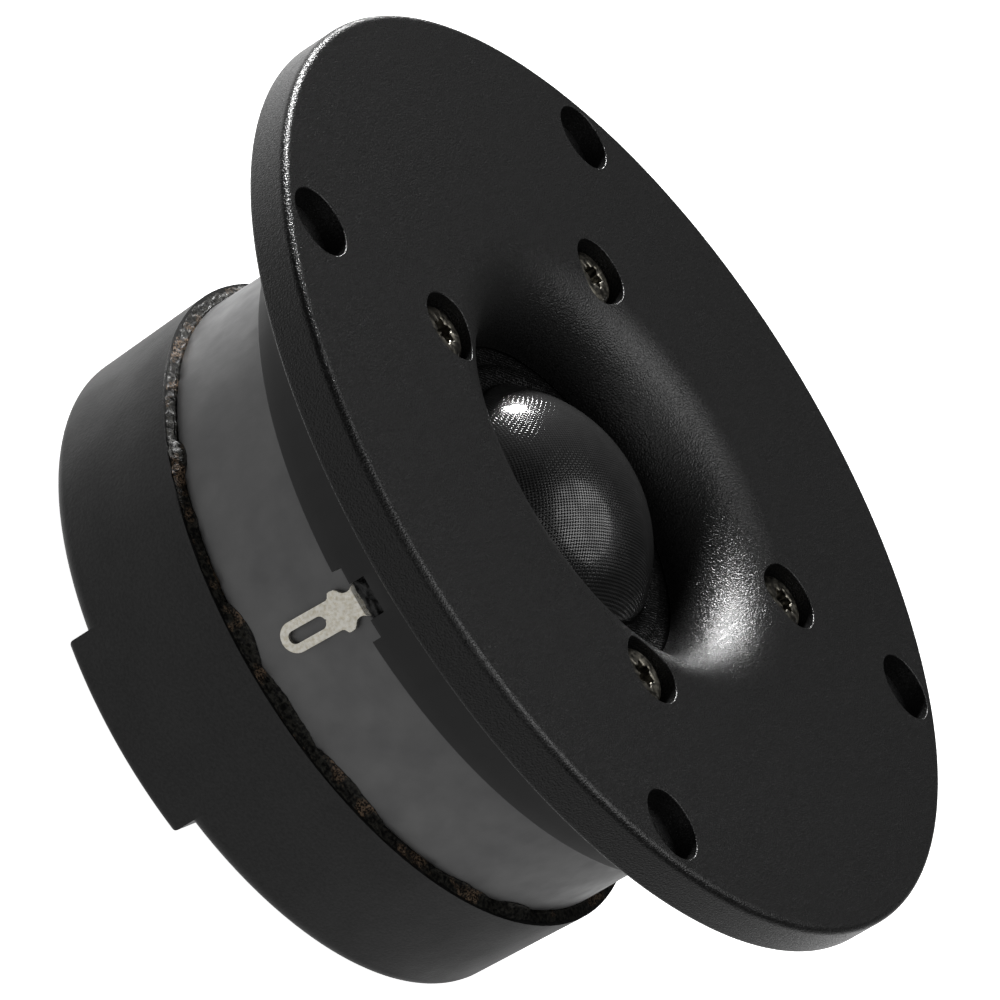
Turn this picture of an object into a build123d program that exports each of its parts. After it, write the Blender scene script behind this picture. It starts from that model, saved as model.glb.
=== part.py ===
from build123d import *
import math
import os

# Flange-mounted dome tweeter with a short waveguide and a sealed rear chamber.
# Frame: origin at the centre of the bolt circle, in the flange's rear seating plane.
# +Z points out of the front. +X passes through the first solder terminal.
# All lengths are in millimetres and all angles in degrees.

# Faceplate
FLANGE_D = 132.0
FLANGE_T = 5.8
FACE_EDGE_R = 1.0
BACK_EDGE_C = 0.4
BOLT_CIRCLE_D = 119.2
BOLT_HOLE_D = 5.0
BOLT_SEAT_D = 9.5
BOLT_SEAT_DEPTH = 3.2
HOLE_LIP_C = 0.25
HOLE_COUNT = 4
FIRST_HOLE_ANGLE = 45.0
FLARE_START_R = 33.55
FLARE_ARC_R = 10.3
BOWL_R = 30.4
BOWL_BOTTOM_Z = -5.5
REGISTER_D = 97.6
REGISTER_Z = 0.6

# Clamp screws, six-lobe drive
SCREW_CIRCLE_D = 69.2
SCREW_POCKET_D = 9.5
SCREW_POCKET_DEPTH = 4.3
SCREW_CLEARANCE_D = 4.6
SCREW_D = 4.0
SCREW_HEAD_D = 8.0
SCREW_HEAD_H = 3.1
SCREW_CROWN_R = 1.3
SCREW_END_Z = -12.9
DRIVE_D = 3.8
DRIVE_LOBE_D = 1.1
DRIVE_DEPTH = 1.5
LOBE_COUNT = 6

# Collar, the plastic ring that carries the terminals
COLLAR_D = 97.0
COLLAR_NECK_D = 94.0
COLLAR_BORE_D = 62.0
COLLAR_SKIRT_BORE_D = 90.8
COLLAR_BOTTOM_Z = -13.8
COLLAR_EDGE_C = 0.3
NOTCH_W = 9.8
NOTCH_TOP_Z = -12.4
WINDOW_W = 5.0
WINDOW_TOP_Z = -10.2

# Magnet system
TOP_PLATE_D = 87.6
TOP_PLATE_BORE_D = 34.0
TOP_PLATE_TOP_Z = -8.4
FERRITE_D = 90.0
FERRITE_BORE_D = 45.0
FERRITE_TOP_Z = -13.4
FERRITE_T = 17.0
FERRITE_EDGE_C = 0.5
BACK_PLATE_D = 87.0
BACK_PLATE_T = 6.0
POLE_D = 30.6
POLE_TOP_Z = -8.0
VENT_D = 10.0
CAP_T = 0.3
CAP_H = 7.0
FELT_D = 28.6
FELT_H = 2.5

# Moving parts
DOME_SPHERE_R = 21.33
DOME_APEX_Z = 4.3
DOME_BASE_R = 17.1
FABRIC_T = 0.3
COIL_BORE_D = 32.0
FORMER_T = 0.15
FORMER_END_Z = -13.6
WINDING_T = 0.35
WINDING_TOP_Z = -9.4
WINDING_H = 3.0

# Surround roll
ROLL_INNER_R = 17.25
ROLL_OUTER_R = 20.7
ROLL_H = 1.5
LAND_Z = -6.2
LAND_OUTER_R = 27.0

# Diaphragm frame, gasket and locating pins
FRAME_D = 60.4
FRAME_BORE_D = 41.6
GASKET_T = 0.4
GASKET_INNER_R = 23.7
GASKET_OUTER_R = 29.6
PIN_D = 2.5
PIN_CIRCLE_D = 52.0
PIN_TOP_Z = -6.9
PIN_BOTTOM_Z = -11.4
PIN_COUNT = 2
FIRST_PIN_ANGLE = 90.0

# Solder terminals
LUG_T = 0.5
LUG_OUTSIDE_R = 45.8
LUG_INSIDE_R = 45.1
LUG_TIP_Z = -25.7
LUG_W = 4.1
LUG_HOLE_W = 1.7
LUG_HOLE_TOP_Z = -19.0
LUG_HOLE_BOTTOM_Z = -24.6
LUG_EAR_W = 5.6
LUG_EAR_TOP_Z = -15.6
LUG_EAR_BOTTOM_Z = -17.0
LUG_NECK_W = 3.4
LUG_JOG_BOTTOM_Z = -13.7
LUG_JOG_TOP_Z = -12.7
LUG_TONGUE_Z = -7.2
LUG_TONGUE_END_R = 21.0
TONGUE_CHANNEL_W = 4.4
TONGUE_CHANNEL_TOP_Z = -6.8
TONGUE_PLAY = 0.6
LEAD_D = 0.5
LEAD_INNER_R = 16.3
LEAD_SAG = 0.45
SEAL_DEPTH = 1.0

# Rear chamber
CUP_FRONT_D = 93.6
CUP_REAR_D = 92.2
CUP_FRONT_Z = -30.9
CUP_REAR_Z = -50.1
CUP_WALL = 2.6
CUP_FLOOR = 3.0
CUP_EDGE_R = 2.0
CUP_TURN = -2.0
BAR_W = 27.0
BAR_Z = -52.9
BAR_EDGE_R = 1.0
SEALANT_BEAD_R = 1.3
SEALANT_RIM_STEP = 0.4
SEALANT_INNER_R = 43.9
PAD_D = 84.0
PAD_TOP_Z = -38.0

# How far a cutting tool runs past the faces it cuts
OVERCUT = 1.0

# Derived sizes
BOLT_SEAT_Z = FLANGE_T - BOLT_SEAT_DEPTH
SCREW_SEAT_Z = FLANGE_T - SCREW_POCKET_DEPTH
FERRITE_BOTTOM_Z = FERRITE_TOP_Z - FERRITE_T
BACK_PLATE_BOTTOM_Z = FERRITE_BOTTOM_Z - BACK_PLATE_T
DOME_CENTRE_Z = DOME_APEX_Z - DOME_SPHERE_R
FORMER_BORE_R = COIL_BORE_D / 2
FORMER_OUTER_R = FORMER_BORE_R + FORMER_T
CUP_INNER_Z = CUP_REAR_Z + CUP_FLOOR
ROLL_CENTRE_R = (ROLL_INNER_R + ROLL_OUTER_R) / 2
ROLL_HALF_W = (ROLL_OUTER_R - ROLL_INNER_R) / 2


def turned(outline):
    """Solid of revolution about Z. The closed outline is drawn as (radius, height)."""
    return revolve(Plane.XZ * make_face(outline), Axis.Z)


def washer(outer_d, inner_d, bottom_z, top_z):
    """Flat ring between two heights."""
    return Pos(0, 0, bottom_z) * extrude(Circle(outer_d / 2) - Circle(inner_d / 2), top_z - bottom_z)


def rod(diameter, bottom_z, top_z):
    """Upright cylinder between two heights, on the Z axis."""
    return Pos(0, 0, bottom_z) * extrude(Circle(diameter / 2), top_z - bottom_z)


def radial_block(inner_r, outer_r, width, bottom_z, top_z):
    """Box on the +X side, running outwards from one radius to another."""
    centre = Pos((inner_r + outer_r) / 2, 0, (bottom_z + top_z) / 2)
    return centre * Box(outer_r - inner_r, width, top_z - bottom_z)


def tongue_channel(inner_r, outer_r):
    """Cutting tool for the groove in which a terminal's inner tongue lies."""
    bottom_z = TOP_PLATE_TOP_Z - OVERCUT
    return radial_block(inner_r - OVERCUT, outer_r, TONGUE_CHANNEL_W, bottom_z, TONGUE_CHANNEL_TOP_Z)


def around(circle_d, first_angle, count, shape):
    """Copies of a shape, evenly spaced on a circle about Z."""
    step = 360 / count
    copies = []
    for index in range(count):
        copies.append(Rot(0, 0, first_angle + index * step) * Pos(circle_d / 2, 0, 0) * shape)
    return copies


def both_sides(shape):
    """The shape and its copy turned half a turn about Z."""
    return [shape, Rot(0, 0, 180) * shape]


def dome_height(radius, sphere_r):
    """Height of a sphere about the dome's centre, at a radius from the Z axis."""
    return DOME_CENTRE_Z + math.sqrt(sphere_r ** 2 - radius ** 2)


def make_faceplate():
    """Flange and waveguide in one moulding, with seats for bolts and clamp screws."""
    rim_r = FLANGE_D / 2
    flare = JernArc((FLARE_START_R, FLANGE_T), (-1, 0), FLARE_ARC_R, 90)
    outline = Polyline(
        flare @ 1,
        ((flare @ 1).X, BOWL_BOTTOM_Z),
        (BOWL_R, BOWL_BOTTOM_Z),
        (BOWL_R, REGISTER_Z),
        (REGISTER_D / 2, REGISTER_Z),
        (REGISTER_D / 2, 0),
        (rim_r - BACK_EDGE_C, 0),
        (rim_r, BACK_EDGE_C),
        (rim_r, FLANGE_T - FACE_EDGE_R),
    )
    edge = JernArc((rim_r, FLANGE_T - FACE_EDGE_R), (0, 1), FACE_EDGE_R, 90)
    face = Line(edge @ 1, (FLARE_START_R, FLANGE_T))
    plate = turned(outline + edge + face + flare)

    top = FLANGE_T + OVERCUT
    bolt_cut = rod(BOLT_HOLE_D, -OVERCUT, top) + rod(BOLT_SEAT_D, BOLT_SEAT_Z, top)
    lip = Pos(0, 0, FLANGE_T - HOLE_LIP_C / 2) * Cone(
        BOLT_SEAT_D / 2, BOLT_SEAT_D / 2 + HOLE_LIP_C, HOLE_LIP_C
    )
    plate -= around(BOLT_CIRCLE_D, FIRST_HOLE_ANGLE, HOLE_COUNT, bolt_cut + lip)

    screw_cut = rod(SCREW_CLEARANCE_D, -OVERCUT, top) + rod(SCREW_POCKET_D, SCREW_SEAT_Z, top)
    plate -= around(SCREW_CIRCLE_D, FIRST_HOLE_ANGLE, HOLE_COUNT, screw_cut)
    return plate


def make_clamp_screw():
    """One pan-head screw with a six-lobe drive, on the Z axis."""
    top_z = SCREW_SEAT_Z + SCREW_HEAD_H
    head = rod(SCREW_HEAD_D, SCREW_SEAT_Z, top_z)
    head = fillet(head.edges().group_by(Axis.Z)[-1], SCREW_CROWN_R)
    screw = head + rod(SCREW_D, SCREW_END_Z, SCREW_SEAT_Z)
    lobe_circle_r = (DRIVE_D - DRIVE_LOBE_D) / 2
    drive = Circle(lobe_circle_r)
    for lobe in PolarLocations(lobe_circle_r, LOBE_COUNT):
        drive += lobe * Circle(DRIVE_LOBE_D / 2)
    return screw - Pos(0, 0, top_z - DRIVE_DEPTH) * extrude(drive, DRIVE_DEPTH + OVERCUT)


def make_clamp_screws():
    """The four screws that clamp the faceplate and collar to the top plate."""
    return Compound(children=around(SCREW_CIRCLE_D, FIRST_HOLE_ANGLE, HOLE_COUNT, make_clamp_screw()))


def make_collar():
    """Ring between faceplate and magnet, with a notch and a window for each terminal."""
    bore_r = COLLAR_BORE_D / 2
    outer_r = COLLAR_D / 2
    skirt_r = COLLAR_SKIRT_BORE_D / 2
    outline = Polyline(
        (bore_r, REGISTER_Z),
        (COLLAR_NECK_D / 2, REGISTER_Z),
        (COLLAR_NECK_D / 2, 0),
        (outer_r - COLLAR_EDGE_C, 0),
        (outer_r, -COLLAR_EDGE_C),
        (outer_r, COLLAR_BOTTOM_Z),
        (skirt_r, COLLAR_BOTTOM_Z),
        (skirt_r, TOP_PLATE_TOP_Z),
        (bore_r, TOP_PLATE_TOP_Z),
        close=True,
    )
    collar = turned(outline)
    wall = (skirt_r - OVERCUT, outer_r + OVERCUT)
    notch = radial_block(*wall, NOTCH_W, COLLAR_BOTTOM_Z - OVERCUT, NOTCH_TOP_Z)
    window = radial_block(*wall, WINDOW_W, COLLAR_BOTTOM_Z, WINDOW_TOP_Z)
    channel = tongue_channel(bore_r, LUG_INSIDE_R + TONGUE_PLAY)
    collar -= both_sides(notch + window + channel)
    screw_hole = rod(SCREW_CLEARANCE_D, TOP_PLATE_TOP_Z - OVERCUT, REGISTER_Z + OVERCUT)
    collar -= around(SCREW_CIRCLE_D, FIRST_HOLE_ANGLE, HOLE_COUNT, screw_hole)
    return collar


def upright_strip(width, bottom_z, top_z):
    """Flat rectangle between two heights, centred on the sketch's upright axis."""
    return Pos(0, (bottom_z + top_z) / 2) * Rectangle(width, top_z - bottom_z)


def make_terminal():
    """One sheet-metal solder lug: outside tab, step into the notch, riser and inner tongue."""
    outside = LUG_OUTSIDE_R
    inside = LUG_INSIDE_R
    path_outline = Polyline(
        (outside, LUG_TIP_Z),
        (outside, LUG_JOG_BOTTOM_Z),
        (inside, LUG_JOG_TOP_Z),
        (inside, LUG_TONGUE_Z),
        (LUG_TONGUE_END_R, LUG_TONGUE_Z),
        (LUG_TONGUE_END_R, LUG_TONGUE_Z - LUG_T),
        (inside - LUG_T, LUG_TONGUE_Z - LUG_T),
        (inside - LUG_T, LUG_JOG_TOP_Z),
        (outside - LUG_T, LUG_JOG_BOTTOM_Z),
        (outside - LUG_T, LUG_TIP_Z),
        close=True,
    )
    strip = extrude(Plane.XZ * make_face(path_outline), LUG_EAR_W / 2, both=True)
    tip_r = LUG_W / 2
    tab = Pos(0, LUG_TIP_Z + tip_r) * Circle(tip_r)
    tab += upright_strip(LUG_W, LUG_TIP_Z + tip_r, LUG_EAR_TOP_Z)
    tab += upright_strip(LUG_EAR_W, LUG_EAR_BOTTOM_Z, LUG_EAR_TOP_Z)
    tab += upright_strip(LUG_NECK_W, LUG_EAR_TOP_Z, OVERCUT)
    hole_length = LUG_HOLE_TOP_Z - LUG_HOLE_BOTTOM_Z
    hole_z = (LUG_HOLE_TOP_Z + LUG_HOLE_BOTTOM_Z) / 2
    tab -= Pos(0, hole_z) * Rot(0, 0, 90) * SlotOverall(hole_length, LUG_HOLE_W)
    front_view = extrude(Plane.YZ * tab, FLANGE_D / 2)
    return strip & front_view


def make_seal():
    """Black sealing compound that fills the window around one terminal."""
    skirt_r = COLLAR_SKIRT_BORE_D / 2
    outer_r = COLLAR_D / 2 - SEAL_DEPTH
    return radial_block(skirt_r, outer_r, WINDOW_W, NOTCH_TOP_Z, WINDOW_TOP_Z)


def make_lead():
    """Flexible lead from the inner end of one terminal to the coil former."""
    start = (LUG_TONGUE_END_R, 0, LUG_TONGUE_Z - LUG_T / 2)
    end = (LEAD_INNER_R, 0, LUG_TONGUE_Z + LUG_T / 2)
    middle = ((start[0] + end[0]) / 2, 0, start[2] - LEAD_SAG)
    path = ThreePointArc(start, middle, end)
    section = Plane(origin=path @ 0, z_dir=path % 0) * Circle(LEAD_D / 2)
    return sweep(section, path)


def make_top_plate():
    """Front steel plate of the magnet system, tapped for the clamp screws."""
    plate = washer(TOP_PLATE_D, TOP_PLATE_BORE_D, FERRITE_TOP_Z, TOP_PLATE_TOP_Z)
    tapped = rod(SCREW_D, FERRITE_TOP_Z - OVERCUT, TOP_PLATE_TOP_Z + OVERCUT)
    plate -= around(SCREW_CIRCLE_D, FIRST_HOLE_ANGLE, HOLE_COUNT, tapped)
    pin_hole = rod(PIN_D, PIN_BOTTOM_Z, TOP_PLATE_TOP_Z + OVERCUT)
    plate -= around(PIN_CIRCLE_D, FIRST_PIN_ANGLE, PIN_COUNT, pin_hole)
    return plate


def make_ferrite():
    """Ferrite ring with broken edges."""
    rim_r = FERRITE_D / 2
    outline = Polyline(
        (FERRITE_BORE_D / 2, FERRITE_BOTTOM_Z),
        (rim_r - FERRITE_EDGE_C, FERRITE_BOTTOM_Z),
        (rim_r, FERRITE_BOTTOM_Z + FERRITE_EDGE_C),
        (rim_r, FERRITE_TOP_Z - FERRITE_EDGE_C),
        (rim_r - FERRITE_EDGE_C, FERRITE_TOP_Z),
        (FERRITE_BORE_D / 2, FERRITE_TOP_Z),
        close=True,
    )
    return turned(outline)


def make_yoke():
    """Back plate and pole in one steel piece, with a vent through the pole."""
    pole_r = POLE_D / 2
    outline = Polyline(
        (VENT_D / 2, BACK_PLATE_BOTTOM_Z),
        (BACK_PLATE_D / 2, BACK_PLATE_BOTTOM_Z),
        (BACK_PLATE_D / 2, FERRITE_BOTTOM_Z),
        (pole_r, FERRITE_BOTTOM_Z),
        (pole_r, POLE_TOP_Z),
        (VENT_D / 2, POLE_TOP_Z),
        close=True,
    )
    return turned(outline)


def make_shorting_cap():
    """Thin copper cap pressed over the top of the pole."""
    pole_r = POLE_D / 2
    outline = Polyline(
        (VENT_D / 2, POLE_TOP_Z),
        (pole_r, POLE_TOP_Z),
        (pole_r, POLE_TOP_Z - CAP_H),
        (pole_r + CAP_T, POLE_TOP_Z - CAP_H),
        (pole_r + CAP_T, POLE_TOP_Z + CAP_T),
        (VENT_D / 2, POLE_TOP_Z + CAP_T),
        close=True,
    )
    return turned(outline)


def make_pole_felt():
    """Felt ring on the pole, under the dome."""
    bottom_z = POLE_TOP_Z + CAP_T
    return washer(FELT_D, VENT_D, bottom_z, bottom_z + FELT_H)


def make_dome():
    """Spherical fabric cap of even thickness."""
    inner_r = DOME_SPHERE_R - FABRIC_T
    shell = Pos(0, 0, DOME_CENTRE_Z) * (Sphere(DOME_SPHERE_R) - Sphere(inner_r))
    base_z = dome_height(DOME_BASE_R, DOME_SPHERE_R)
    return shell & rod(2 * DOME_BASE_R, base_z - OVERCUT, DOME_APEX_Z + OVERCUT)


def make_surround():
    """Half roll with a short inner lip against the dome and a flat outer land."""
    top_z = LAND_Z + FABRIC_T
    centre = (ROLL_CENTRE_R, top_z)
    inner_half_w = ROLL_HALF_W - FABRIC_T
    outer_roll = EllipticalCenterArc(centre, ROLL_HALF_W, ROLL_H, start_angle=0, arc_size=180)
    inner_roll = EllipticalCenterArc(centre, inner_half_w, ROLL_H - FABRIC_T, start_angle=0, arc_size=180)
    lip_z = dome_height(DOME_BASE_R, DOME_SPHERE_R)
    lip = Polyline(
        (ROLL_INNER_R, top_z),
        (ROLL_INNER_R, lip_z),
        (ROLL_INNER_R - FABRIC_T / 2, lip_z),
        (ROLL_INNER_R - FABRIC_T / 2, LAND_Z),
        (ROLL_INNER_R + FABRIC_T, LAND_Z),
        (ROLL_INNER_R + FABRIC_T, top_z),
    )
    land = Polyline(
        (ROLL_OUTER_R - FABRIC_T, top_z),
        (ROLL_OUTER_R - FABRIC_T, LAND_Z),
        (LAND_OUTER_R, LAND_Z),
        (LAND_OUTER_R, top_z),
        (ROLL_OUTER_R, top_z),
    )
    return turned(outer_roll + lip + inner_roll + land)


def make_former():
    """Thin tube that joins the dome to the winding."""
    top_z = dome_height(FORMER_OUTER_R, DOME_SPHERE_R - FABRIC_T)
    return washer(2 * FORMER_OUTER_R, 2 * FORMER_BORE_R, FORMER_END_Z, top_z)


def make_winding():
    """Coil winding on the former, centred in the magnet gap."""
    return washer(
        2 * (FORMER_OUTER_R + WINDING_T), 2 * FORMER_OUTER_R, WINDING_TOP_Z - WINDING_H, WINDING_TOP_Z
    )


def make_frame():
    """Plastic ring on the top plate that holds the surround's land."""
    ring = washer(FRAME_D, FRAME_BORE_D, TOP_PLATE_TOP_Z, LAND_Z)
    ring -= both_sides(tongue_channel(FRAME_BORE_D / 2, FRAME_D / 2 + OVERCUT))
    pin_hole = rod(PIN_D, TOP_PLATE_TOP_Z - OVERCUT, PIN_TOP_Z)
    return ring - around(PIN_CIRCLE_D, FIRST_PIN_ANGLE, PIN_COUNT, pin_hole)


def make_pins():
    """Two pins that centre the diaphragm frame on the top plate."""
    pin = rod(PIN_D, PIN_BOTTOM_Z, PIN_TOP_Z)
    return Compound(children=around(PIN_CIRCLE_D, FIRST_PIN_ANGLE, PIN_COUNT, pin))


def make_gasket():
    """Soft ring between the frame and the faceplate's bowl."""
    top_z = BOWL_BOTTOM_Z
    bottom_z = top_z - GASKET_T
    return washer(2 * GASKET_OUTER_R, 2 * GASKET_INNER_R, bottom_z, top_z)


def make_rear_cup():
    """Sealed chamber with a raised bar across its back."""
    front_r = CUP_FRONT_D / 2
    rear_r = CUP_REAR_D / 2
    outline = Polyline(
        (0, CUP_FRONT_Z),
        (front_r, CUP_FRONT_Z),
        (rear_r, CUP_REAR_Z),
        (0, CUP_REAR_Z),
        close=True,
    )
    outside = turned(outline)
    outside = fillet(outside.edges().group_by(Axis.Z)[0], CUP_EDGE_R)
    slope = (front_r - rear_r) / (CUP_FRONT_Z - CUP_REAR_Z)
    bar_r = rear_r - slope * (CUP_REAR_Z - BAR_Z)
    bar = turned(
        Polyline((0, CUP_FRONT_Z), (front_r, CUP_FRONT_Z), (bar_r, BAR_Z), (0, BAR_Z), close=True)
    )
    bar &= Pos(0, 0, (CUP_INNER_Z + BAR_Z) / 2) * Box(FLANGE_D, BAR_W, CUP_INNER_Z - BAR_Z)
    bar = fillet(bar.edges().group_by(Axis.Z)[0], BAR_EDGE_R)
    inside = turned(
        Polyline(
            (0, CUP_FRONT_Z + OVERCUT),
            (front_r - CUP_WALL, CUP_FRONT_Z + OVERCUT),
            (rear_r - CUP_WALL, CUP_INNER_Z),
            (0, CUP_INNER_Z),
            close=True,
        )
    )
    return Rot(0, 0, CUP_TURN) * (outside + bar - inside)


def make_sealant():
    """Bead of sealant between the magnet's rear edge and the cup's rim."""
    ferrite_r = FERRITE_D / 2
    bead_r = ferrite_r + SEALANT_BEAD_R
    outline = Polyline(
        (SEALANT_INNER_R, FERRITE_BOTTOM_Z),
        (ferrite_r - FERRITE_EDGE_C, FERRITE_BOTTOM_Z),
        (ferrite_r, FERRITE_BOTTOM_Z + FERRITE_EDGE_C),
        (ferrite_r, FERRITE_BOTTOM_Z + SEALANT_BEAD_R),
        (bead_r, CUP_FRONT_Z + SEALANT_RIM_STEP),
        (bead_r, CUP_FRONT_Z),
        (SEALANT_INNER_R, CUP_FRONT_Z),
        close=True,
    )
    return turned(outline)


def make_chamber_pad():
    """Damping pad on the floor of the chamber."""
    return rod(PAD_D, CUP_INNER_Z, PAD_TOP_Z)


os.makedirs("parts", exist_ok=True)

terminals = both_sides(make_terminal())
seals = both_sides(make_seal() - terminals[0])
leads = both_sides(make_lead() - terminals[0])

nodes = {
    "faceplate": make_faceplate(),
    "clamp_screws": make_clamp_screws(),
    "collar": make_collar(),
    "terminal_positive": terminals[0],
    "terminal_negative": terminals[1],
    "terminal_seal_positive": seals[0],
    "terminal_seal_negative": seals[1],
    "lead_wire_positive": leads[0],
    "lead_wire_negative": leads[1],
    "diaphragm_gasket": make_gasket(),
    "diaphragm_frame": make_frame(),
    "locating_pins": make_pins(),
    "dome": make_dome(),
    "surround": make_surround(),
    "coil_former": make_former(),
    "coil_winding": make_winding(),
    "top_plate": make_top_plate(),
    "ferrite_magnet": make_ferrite(),
    "pole_yoke": make_yoke(),
    "shorting_cap": make_shorting_cap(),
    "pole_felt": make_pole_felt(),
    "sealant_bead": make_sealant(),
    "rear_cup": make_rear_cup(),
    "chamber_pad": make_chamber_pad(),
}

for name, shape in nodes.items():
    export_step(shape, f"parts/{name}.step")
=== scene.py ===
import math

import bmesh
import bpy
from mathutils import Matrix, Vector, noise


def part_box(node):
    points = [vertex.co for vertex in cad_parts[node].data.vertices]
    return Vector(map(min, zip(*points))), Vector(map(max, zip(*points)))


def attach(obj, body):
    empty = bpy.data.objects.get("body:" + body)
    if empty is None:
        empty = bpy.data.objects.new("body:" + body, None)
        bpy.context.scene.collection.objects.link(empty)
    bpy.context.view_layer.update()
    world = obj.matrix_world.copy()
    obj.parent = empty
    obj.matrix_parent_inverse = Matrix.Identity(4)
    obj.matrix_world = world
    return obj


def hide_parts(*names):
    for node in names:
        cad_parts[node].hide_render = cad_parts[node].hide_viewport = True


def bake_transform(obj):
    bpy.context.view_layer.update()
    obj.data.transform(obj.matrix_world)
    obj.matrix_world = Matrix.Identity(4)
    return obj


# Looks of a flange-mounted dome tweeter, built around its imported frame.
# Lengths are in millimetres and angles in degrees until a mesh, light or camera is made.

MM = 0.001
NOISE_SEED = 3
noise.seed_set(NOISE_SEED)  # without a seed, the vector noise differs from run to run
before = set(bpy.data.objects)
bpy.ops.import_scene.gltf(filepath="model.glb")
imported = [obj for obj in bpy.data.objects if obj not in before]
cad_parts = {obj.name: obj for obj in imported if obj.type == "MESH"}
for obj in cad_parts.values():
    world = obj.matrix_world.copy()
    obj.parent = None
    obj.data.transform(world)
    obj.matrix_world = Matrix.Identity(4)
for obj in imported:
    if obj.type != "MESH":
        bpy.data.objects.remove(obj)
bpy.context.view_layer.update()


def radius_of(node):
    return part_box(node)[1].x / MM


def bottom_of(node):
    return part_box(node)[0].z / MM


def top_of(node):
    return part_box(node)[1].z / MM


# Faceplate
FLANGE_R = radius_of("faceplate")
FACE_Z = top_of("faceplate")
BOWL_BOTTOM_Z = bottom_of("faceplate")
FACE_EDGE_R = 1.0
BACK_EDGE_R = 0.4
BOLT_CIRCLE_R = 59.6
BOLT_HOLE_R = 2.5
BOLT_SEAT_R = 4.75
BOLT_SEAT_Z = FACE_Z - 3.2
SCREW_CIRCLE_R = 34.6
SCREW_HOLE_R = 2.3
SCREW_POCKET_R = 4.75
SCREW_SEAT_Z = FACE_Z - 4.3
HOLE_LIP_R = 0.18
HOLE_ANGLES = (45, 135, 225, 315)
FLARE_START_R = 33.55
FLARE_ARC_R = 10.3
BOWL_R = 30.4
REGISTER_R = 48.8
REGISTER_Z = top_of("collar")

# Clamp screws
SCREW_HEAD_R = 4.0
SCREW_HEAD_TOP_Z = top_of("clamp_screws")
SCREW_END_Z = bottom_of("clamp_screws")
SCREW_CROWN_R = 1.3
SCREW_SHANK_R = 2.0
THREAD_PITCH = 0.7
THREAD_DEPTH = 0.24
DRIVE_MEAN_R = 1.63
DRIVE_LOBE = 0.27
DRIVE_DEPTH = 1.5
SCREW_TURNS = (12, 41, 27, 3)

# Collar
COLLAR_R = radius_of("collar")
COLLAR_NECK_R = 47.0
COLLAR_BORE_R = 31.0
COLLAR_SKIRT_R = 45.4
COLLAR_BOTTOM_Z = bottom_of("collar")
COLLAR_EDGE = 0.3
NOTCH_W = 9.8
NOTCH_TOP_Z = -12.4
WINDOW_W = 5.0
WINDOW_TOP_Z = -10.2
TOP_PLATE_Z = top_of("top_plate")

# Ferrite
FERRITE_R = radius_of("ferrite_magnet")
FERRITE_BORE_R = 22.5
FERRITE_TOP_Z = top_of("ferrite_magnet")
FERRITE_BOTTOM_Z = bottom_of("ferrite_magnet")
FERRITE_EDGE = 0.5

# Dome and surround
DOME_APEX_Z = top_of("dome")
DOME_BASE_R = radius_of("dome")
DOME_SPHERE_R = 21.33
FABRIC_T = 0.3
ROLL_INNER_R = 17.25
ROLL_OUTER_R = 20.7
ROLL_H = 1.5
LAND_Z = bottom_of("surround")
LAND_OUTER_R = radius_of("surround")
ROLL_FOOT_Z = -5.1
WEAVE_PITCH = 0.36

# Solder terminals
LUG_T = 0.5
LUG_TIP_Z = bottom_of("terminal_positive")
LUG_OUTSIDE_R = radius_of("terminal_positive")
LUG_INSIDE_R = 45.1
LUG_TONGUE_Z = top_of("terminal_positive")
LUG_TONGUE_END_R = 21.0
LUG_HOLE_R = 0.85
LUG_HOLE_Z = (-24.6, -19.0)
LUG_BEND_Z = (-13.7, -12.7)
LUG_BEND_R = 0.7
LUG_LEAN = 0.035
LUG_SHIFT_Y = -0.3
LUG_TAB_HALF_W = 2.05
TONGUE_HALF_W = 2.1
LEAD_R = 0.25
LEAD_INNER_R = 16.3
LEAD_SAG = 0.7

# Rear cup and sealant
CUP_RIM_R = 46.8
CUP_FRONT_Z = top_of("rear_cup")
REST_Z = bottom_of("rear_cup")

# Felt and gasket bores
POLE_FELT_BORE_R = 5.0
GASKET_BORE_R = 23.7

# Studio
CAMERA_AZIMUTH = 3.382
CAMERA_ELEVATION = 24.897
CAMERA_ROLL = 58.306
CAMERA_DISTANCE = 838.0
CAMERA_TARGET = (0.27, -4.49, -11.78)
CAMERA_LENS = 236.55
SENSOR_WIDTH = 36
CLIP_END_M = 20
GLOW_SIDE = (-0.83, -0.35, -0.42)
ROOM_STRENGTH = 0.06
FLOOR_HALF_SIDE = 9000
FLOOR_GAP = 0.05

SEGMENTS = 360
HOLE_SEGMENTS = 96
OVERCUT = 1.0
TINY = 1e-6
FLAT_TILT = 1e-5


# ---------------------------------------------------------------- mesh tools


def arc(centre, radius, start, end, steps):
    """Points on a circular arc in the (radius, height) plane."""
    points = []
    for step in range(steps + 1):
        angle = math.radians(start + (end - start) * step / steps)
        points.append((centre[0] + radius * math.cos(angle), centre[1] + radius * math.sin(angle)))
    return points


def ellipse_arc(centre, half_width, height, start, end, steps):
    """Points on an upright elliptical arc in the (radius, height) plane."""
    points = []
    for step in range(steps + 1):
        angle = math.radians(start + (end - start) * step / steps)
        points.append((centre[0] + half_width * math.cos(angle), centre[1] + height * math.sin(angle)))
    return points


def along(start, end, steps):
    """Points between two others, without the first."""
    points = []
    for step in range(1, steps + 1):
        share = step / steps
        points.append((start[0] + (end[0] - start[0]) * share, start[1] + (end[1] - start[1]) * share))
    return points


def turn_point(radius, angle, height):
    return Vector((radius * math.cos(angle), radius * math.sin(angle), height))


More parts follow.
